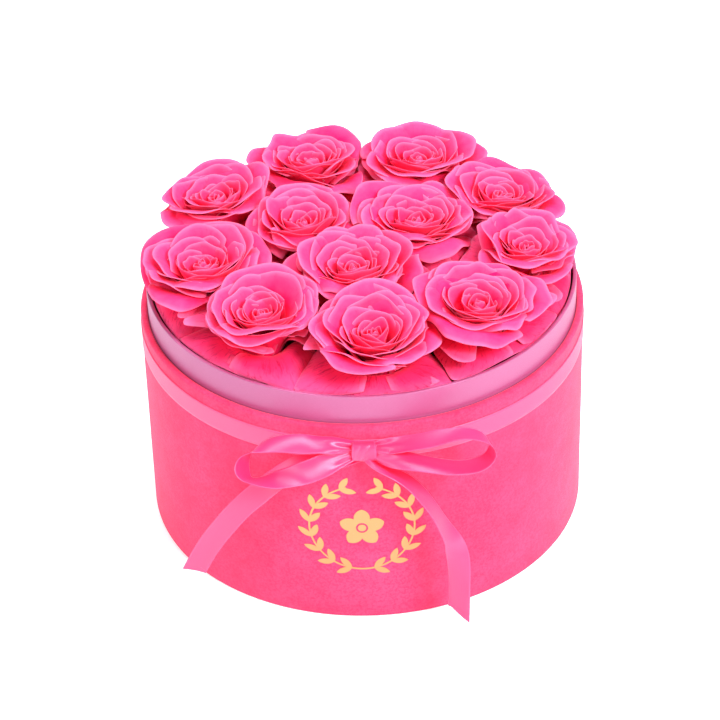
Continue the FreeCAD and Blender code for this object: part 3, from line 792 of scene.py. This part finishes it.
def limits(index):
    """Where a rose meets each neighbour: direction, distance, and whether it lies over it."""
    axis, radius = HEADS[index][:2]
    found = []
    for other in range(ROSE_COUNT):
        if other != index:
            apart = HEADS[other][0] - axis
            distance = np.linalg.norm(apart)
            share = (distance ** 2 + radius ** 2 - HEADS[other][1] ** 2) / (2 * distance)
            found.append((apart / distance, share, index > other))
    return found


def squeezed(distance, limit, soft):
    """Distances left alone up to a share of the limit, then pressed towards it."""
    start = limit * soft
    room = limit - start
    over = np.maximum(distance - start, 0)
    return np.where(distance > start, start + room * (1 - np.exp(-over / room)), distance)


def pressed(points, index, soft=0.90, lap=LAP):
    """Keeps a rose's points to its own room inside the collar. Where two roses meet, the
    later one laps over the earlier, along an uneven line, and the earlier one dips."""
    axis = HEADS[index][0]
    for direction, middle, over in limits(index):
        distance = (points[:, :2] - axis) @ direction
        along = (points[:, :2] - axis) @ np.array([-direction[1], direction[0]])
        uneven = 1.1 * MM * np.sin(along / (5.5 * MM) + 7 * middle / MM)
        limit = middle + uneven + (lap if over else -0.3 * MM)
        near = ramp(distance, middle - 9 * MM, middle)
        moved = squeezed(distance, limit, soft) - distance
        points[:, :2] += moved[:, None] * direction
        points[:, 2] += near * (0.8 * MM if over else -DIP)
    radius = np.hypot(points[:, 0], points[:, 1])
    above = ramp(points[:, 2], COLLAR_TOP - 1 * MM, COLLAR_TOP + 9 * MM)
    limit = HEAD_ROOM + above * 5.5 * MM
    kept = squeezed(radius, limit, 0.97)
    points[:, :2] *= (kept / np.maximum(radius, 1e-6))[:, None]
    return points


def side_view(root, tip, belly, lean, low, high):
    """Petal seen from the side: gives the points of a cubic from its root to its tip at
    shares from 0 to 1."""
    first = np.array([math.sin(belly), math.cos(belly)]) * low
    last = np.array([math.sin(lean), math.cos(lean)]) * high
    controls = [np.array(root), np.array(root) + first, np.array(tip) - last, np.array(tip)]

    def view(share):
        share = share[:, None]
        left = 1 - share
        weights = left ** 3, 3 * share * left ** 2, 3 * share ** 2 * left, share ** 3
        return sum(weight * control for weight, control in zip(weights, controls))
    return view


def petal(grid, rng, turn, view, lean, spread, curl, ripple, tuck, roll, fill=None):
    """Points of one petal about the rose's axis. Lengths in metres, angles in radians.
    fill gives the share of the petal's reach that there is room for at an angle."""
    across = grid[:, 0]
    up = 1 - ((1 - grid[:, 1]) / 2) ** 1.4
    crest = rng.uniform(-0.3, 0.3)
    drop = rng.uniform(0.10, 0.22) * (0.4 if fill else 1)
    outline = 1 - drop * np.abs(across - crest) ** rng.uniform(1.3, 2.6)
    outline += rng.uniform(0, 0.035) * np.exp(-np.abs(across - crest) / 0.12)
    for count in (5, 9, 14):
        outline += rng.normal(0, 0.010) * np.sin(across * count + rng.uniform(0, 6)) * up
    share = np.clip(up * outline, 0, 1.05)
    profile = view(share)
    distance, height = profile[:, 0], profile[:, 1]
    width = 0.30 + 0.70 * np.sin(np.clip(up / 0.72, 0, 1) * np.pi / 2)
    angle = turn + spread * across * width + rng.normal(0, 0.10) * up
    lip = np.clip((share - 0.72) / 0.28, 0, 1.2) ** 2
    wave = ripple * (np.sin(across * rng.uniform(3, 5) + rng.uniform(0, 6))
                     + 0.5 * np.sin(across * rng.uniform(7, 11) + rng.uniform(0, 6))) * up ** 2
    fold = np.where(across > crest, rng.uniform(0.1, 1.6), rng.uniform(0.1, 1.6))
    corner = roll * fold * np.clip(np.abs(across - crest) - 0.30, 0, 1) ** 1.6 * up ** 3
    push = curl * lip + wave + corner
    distance = distance * (1 + tuck * across * up) + push * math.cos(lean)
    height = height - push * math.sin(lean)
    if fill:
        distance *= 1 + (fill(angle) - 1) * up ** 1.5
    return np.stack([distance * np.cos(angle), distance * np.sin(angle), height], axis=1)


def leaned(points, index):
    """Tips a head outwards about its own middle and puts it in its place. Its root stays put."""
    axis, _, root_z, top_z = HEADS[index]
    pivot = top_z - root_z - LEAN_DEPTH
    toward = math.atan2(axis[1], axis[0])
    direction = Vector((math.cos(toward + math.pi / 2), math.sin(toward + math.pi / 2), 0))
    turn = np.array(Matrix.Rotation(math.radians(ROSES[index][1]), 3, direction))
    tipped = (points - [0, 0, pivot]) @ turn.T + [0, 0, pivot]
    share = ramp(points[:, 2], 0.1 * pivot, 0.75 * pivot)[:, None]
    return points + (tipped - points) * share + [axis[0], axis[1], root_z]


def petal_mould():
    """Flat petal that every petal is shaped from, with its lip marked for the painted highlight
    along the rim.
    """
    mould = primitive(bpy.ops.mesh.primitive_grid_add, "petal_mould", x_subdivisions=14,
                      y_subdivisions=9, size=2)
    grid = coordinates(mould)
    inside = np.minimum(1 - np.abs(grid[:, 0]), 1 - grid[:, 1])
    lip = mould.data.attributes.new("lip", "FLOAT", "POINT")
    lip.data.foreach_set("value", 1 - ramp(inside, 0.0, 0.22))
    return mould, grid


def sewn(mould, name, shapes):
    """Joins one copy of the mould for each set of points."""
    pieces = []
    for points in shapes:
        copy = bpy.data.objects.new(name, mould.data.copy())
        bpy.context.collection.objects.link(copy)
        reshape(copy, points)
        pieces.append(copy)
    return joined(pieces, name)


def reach_of_cell(index, angles):
    """Distance from a rose's axis to the edge of its room at each angle, and to the collar."""
    axis = HEADS[index][0]
    rays = np.stack([np.cos(angles), np.sin(angles)], axis=-1)
    middle = rays @ axis
    to_collar = -middle + np.sqrt(middle ** 2 - axis @ axis + HEAD_ROOM ** 2)
    reach = to_collar.copy()
    for direction, middle, _ in limits(index):
        facing = np.maximum(rays @ direction, 1e-3)
        reach = np.minimum(reach, middle / facing)
    return reach, to_collar


def bloom_shapes(index, grid, seed):
    """Every petal of one head, from the eye outwards."""
    radius, root_z, top_z = HEADS[index][1:]
    opening, _, turned_by = ROSES[index]
    rng = np.random.default_rng(seed + 31 * index)
    placed = []
    open_by = rng.uniform(0.9, 1.15)
    for ring, (count, reach, below, span, belly, lean) in enumerate(RINGS):
        outer = ring / (len(RINGS) - 1)
        start = math.radians(turned_by + 47 * ring)
        for number in range(count):
            turn = start + 2 * math.pi * (number + rng.normal(0, 0.10)) / count
            slope = math.radians(lean * opening + rng.normal(0, 3 + 6 * outer))
            out = radius * reach ** open_by * (1 + 0.04 * rng.normal())
            if outer == 1:
                out = np.clip(0.98 * reach_of_cell(index, np.array([turn]))[0][0],
                              0.95 * radius, 1.28 * radius)
            tip = (out, top_z - root_z - (below + rng.normal(0, 0.6 + 1.0 * outer)) * MM)
            root = ((1.0 + 3.6 * outer) * MM, (1 - outer) * 2 * MM)
            view = side_view(root, tip, math.radians(belly), slope,
                             tip[1] * (0.55 + 0.1 * outer), tip[1] * (0.35 + 0.08 * outer))
            points = petal(
                grid, rng, turn, view, slope, math.radians(span) * rng.uniform(0.90, 1.08),
                curl=(0.3 + 3.4 * outer) * MM * rng.uniform(0.4, 1.5),
                ripple=(0.12 + 1.5 * outer) * MM * rng.uniform(0.5, 1.3),
                tuck=0.10 - 0.045 * outer,
                roll=(0.4 + 11 * outer ** 1.2) * MM)
            placed.append(pressed(leaned(points, index), index))
    return placed + bud_shapes(index, grid, rng)


def bud_shapes(index, grid, rng):
    """Two tight petals that close over the eye of a head."""
    root_z, top_z = HEADS[index][2:]
    tip = (0.4 * MM, top_z - root_z - 9.2 * MM)
    inwards = math.radians(-38)
    view = side_view((1.5 * MM, 2 * MM), tip, math.radians(3), inwards,
                     tip[1] * 0.5, tip[1] * 0.3)
    placed = []
    for number in range(2):
        turn = math.radians(ROSES[index][2]) + math.pi * number
        points = petal(grid, rng, turn, view, inwards, math.radians(150),
                       curl=0, ripple=0.1 * MM, tuck=0.08, roll=0.2 * MM)
        placed.append(leaned(points, index))
    return placed


def guard_directions(index):
    """Angles where the room is deepest, filled in so that no gap is wide."""
    angles = np.radians(np.arange(0, 360, 4))
    reach = reach_of_cell(index, angles)[0]
    peaks = [a for i, a in enumerate(angles)
             if reach[i] >= reach[i - 1] and reach[i] > reach[(i + 1) % len(reach)]]
    filled = []
    for start, end in zip(peaks, peaks[1:] + [peaks[0] + 2 * math.pi]):
        steps = max(int(round((end - start) / math.radians(58))), 1)
        filled += [start + (end - start) * step / steps for step in range(steps)]
    return filled


def guard_shapes(index, grid, seed):
    """Opened outer petals that fill the room round the head and hide the foam."""
    axis, radius, root_z = HEADS[index][:3]
    rng = np.random.default_rng(seed + 17 * index)
    placed = []
    for order, angle in enumerate(guard_directions(index)):
        reach, to_collar = (value[0] for value in reach_of_cell(index, np.array([angle])))
        at_collar = reach > to_collar - 2 * MM
        reach = min(reach, radius + 38 * MM)
        shoulder = rng.uniform(32, 35) * MM
        above = -rng.uniform(0.9, 2.2) if at_collar else rng.uniform(9, 14)
        lean = math.radians(rng.uniform(108, 118) if at_collar else rng.uniform(84, 98))
        root = (4.5 * MM, (-1.0 + 0.35 * (order % 3)) * MM)
        tip = (reach, COLLAR_TOP + above * MM - root_z)
        view = side_view(root, tip, math.radians(14), lean, shoulder, reach * 0.5)

        def fill(angles):
            room = np.minimum(reach_of_cell(index, angles)[0], radius + 40 * MM)
            return np.clip(1.12 * room / reach, 0.4, 1.6)

        points = petal(
            grid, rng, angle, view, lean, math.radians(54) * rng.uniform(0.95, 1.1),
            curl=rng.uniform(-0.5, 1.0) * MM, ripple=rng.uniform(0.3, 1.0) * MM,
            tuck=0.05, roll=rng.uniform(-1, 2) * MM, fill=fill)
        points += [axis[0], axis[1], root_z]
        placed.append(pressed(points, index, 0.96, GUARD_LAP))
    return placed


def grow_petals(settings, material, shapes, petals, slot, node):
    """Sews every rose's petals into one piece that takes the place of its node."""
    mould, grid = petal_mould()
    for index in range(ROSE_COUNT):
        name = rose_name(index)
        piece = sewn(mould, f"{name}_{petals}", shapes(index, grid, settings.seed))
        modify(piece, "SOLIDIFY", thickness=settings.petal_thickness, offset=0)
        modify(piece, "SUBSURF", levels=1, render_levels=1)
        finish_piece(piece, material, name, slot, f"{name}_{node}")
    bpy.data.objects.remove(mould)


class FLOWERBOX_OT_rose_heads(bpy.types.Operator):
    """Grow the petals of every rose head, from the eye outwards"""
    bl_idname = "flowerbox.rose_heads"
    bl_label = "Rose Heads"

    def execute(self, context):
        settings = context.scene.flower_rose
        material = petal_material("preserved_petal", settings.petal_root_shade,
                                  settings.petal_light, 0.18)
        grow_petals(settings, material, bloom_shapes, "petals", "petals", "bloom")
        return {"FINISHED"}


class FLOWERBOX_OT_guard_petals(bpy.types.Operator):
    """Open the guard petals under every head, out to the collar"""
    bl_idname = "flowerbox.guard_petals"
    bl_label = "Guard Petals"

    def execute(self, context):
        settings = context.scene.flower_rose
        # The guard colour is passed in as the painted shade low on each guard petal.
        material = petal_material("guard_petal", settings.guard, (0.97, 0.085, 0.25), 0.85)
        grow_petals(settings, material, guard_shapes, "guards", "guard_petals", "guard_petals")
        return {"FINISHED"}


# ---- carried nodes ----
class FLOWERBOX_OT_structure(bpy.types.Operator):
    """Finish the boards, foam, stems and foil that come from the frame"""
    bl_idname = "flowerbox.structure"
    bl_label = "Boards, Foam, Stems and Foil"

    def execute(self, context):
        settings = context.scene.flower_box
        board = card_material("grey_board", (0.46, 0.40, 0.32), (0.62, 0.55, 0.45))
        paper = card_material("cover_paper", (0.72, 0.20, 0.30), (0.85, 0.32, 0.42))
        for node in ("outer_wall", "inner_collar", "base_board"):
            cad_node(node, board)
        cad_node("base_cover", paper)
        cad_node("floral_foam", foam_material())
        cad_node("foil_emblem", foil_material(settings))
        stem = stem_material()
        for index in range(ROSE_COUNT):
            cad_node(f"{rose_name(index)}_stem", stem)
        return {"FINISHED"}


# ---- stage ----
def softbox(name, location, target, size, power, tint=(1, 1, 1)):
    light = bpy.data.lights.new(name, "AREA")
    light.shape = "RECTANGLE"
    light.size, light.size_y = size
    light.energy = power
    light.color = tint
    lamp = bpy.data.objects.new(name, light)
    bpy.context.collection.objects.link(lamp)
    lamp.location = location
    aim = Vector(target) - Vector(location)
    lamp.rotation_euler = aim.to_track_quat("-Z", "Y").to_euler()


class FLOWERBOX_OT_stage(bpy.types.Operator):
    """Set the pale floor, the soft lights and the camera"""
    bl_idname = "flowerbox.stage"
    bl_label = "Stage"

    def execute(self, context):
        settings = context.scene.flower_stage
        floor = primitive(bpy.ops.mesh.primitive_plane_add, "studio_floor", size=8,
                          location=(0, 0, -0.2 * MM))
        floor.data.materials.append(floor_material())
        world = bpy.data.worlds.new("studio")
        world.use_nodes = True
        world.node_tree.nodes["Background"].inputs["Color"].default_value = (1, 1, 1, 1)
        world.node_tree.nodes["Background"].inputs["Strength"].default_value = 0.42
        context.scene.world = world
        middle = (0, 0, 0.09)
        softbox("key_softbox", (0.9, -1.0, 1.3), middle, (0.6, 0.6), 40)
        softbox("fill_softbox", (-1.3, -0.7, 0.9), middle, (1.0, 1.0), 13)
        softbox("top_softbox", (0.0, 0.5, 1.7), middle, (1.0, 0.8), 26)
        camera_data = bpy.data.cameras.new("camera")
        camera_data.lens = settings.lens
        camera_data.sensor_width = 36
        camera_data.clip_start = 0.05
        camera = bpy.data.objects.new("camera", camera_data)
        context.collection.objects.link(camera)
        camera.matrix_world = (
            Matrix.Translation(CAMERA_PLACE)
            @ Matrix.Rotation(math.pi / 2 - settings.elevation, 4, "X")
            @ Matrix.Rotation(settings.roll, 4, "Z"))
        context.scene.camera = camera
        context.scene.view_settings.view_transform = "Standard"
        return {"FINISHED"}


class FLOWERBOX_PT_panel(bpy.types.Panel):
    """Steps that dress the flower box, in order"""
    bl_label = "Flower Box"
    bl_idname = "FLOWERBOX_PT_panel"
    bl_space_type = "VIEW_3D"
    bl_region_type = "UI"
    bl_category = "Flower Box"

    def draw(self, context):
        layout = self.layout
        for group in (getattr(context.scene, name) for name in GROUPS):
            box = layout.box()
            for name in group.__annotations__:
                box.prop(group, name)
        for operator in OPERATORS:
            layout.operator(operator.bl_idname)


OPERATORS = (
    FLOWERBOX_OT_stage, FLOWERBOX_OT_velvet, FLOWERBOX_OT_band_ribbons, FLOWERBOX_OT_bow,
    FLOWERBOX_OT_rose_heads, FLOWERBOX_OT_guard_petals, FLOWERBOX_OT_structure,
)
GROUPS = {"flower_box": BoxSettings, "flower_ribbon": RibbonSettings,
          "flower_rose": RoseSettings, "flower_stage": StageSettings}
CLASSES = tuple(GROUPS.values()) + OPERATORS + (FLOWERBOX_PT_panel,)


def register():
    for cls in CLASSES:
        bpy.utils.register_class(cls)
    for name, group in GROUPS.items():
        setattr(bpy.types.Scene, name, PointerProperty(type=group))


def unregister():
    for name in GROUPS:
        delattr(bpy.types.Scene, name)
    for cls in reversed(CLASSES):
        bpy.utils.unregister_class(cls)


def main():
    register()
    bpy.ops.flowerbox.stage()
    bpy.ops.flowerbox.velvet()
    bpy.ops.flowerbox.band_ribbons()
    bpy.ops.flowerbox.bow()
    bpy.ops.flowerbox.rose_heads()
    bpy.ops.flowerbox.guard_petals()
    bpy.ops.flowerbox.structure()


if __name__ == "__main__":
    main()
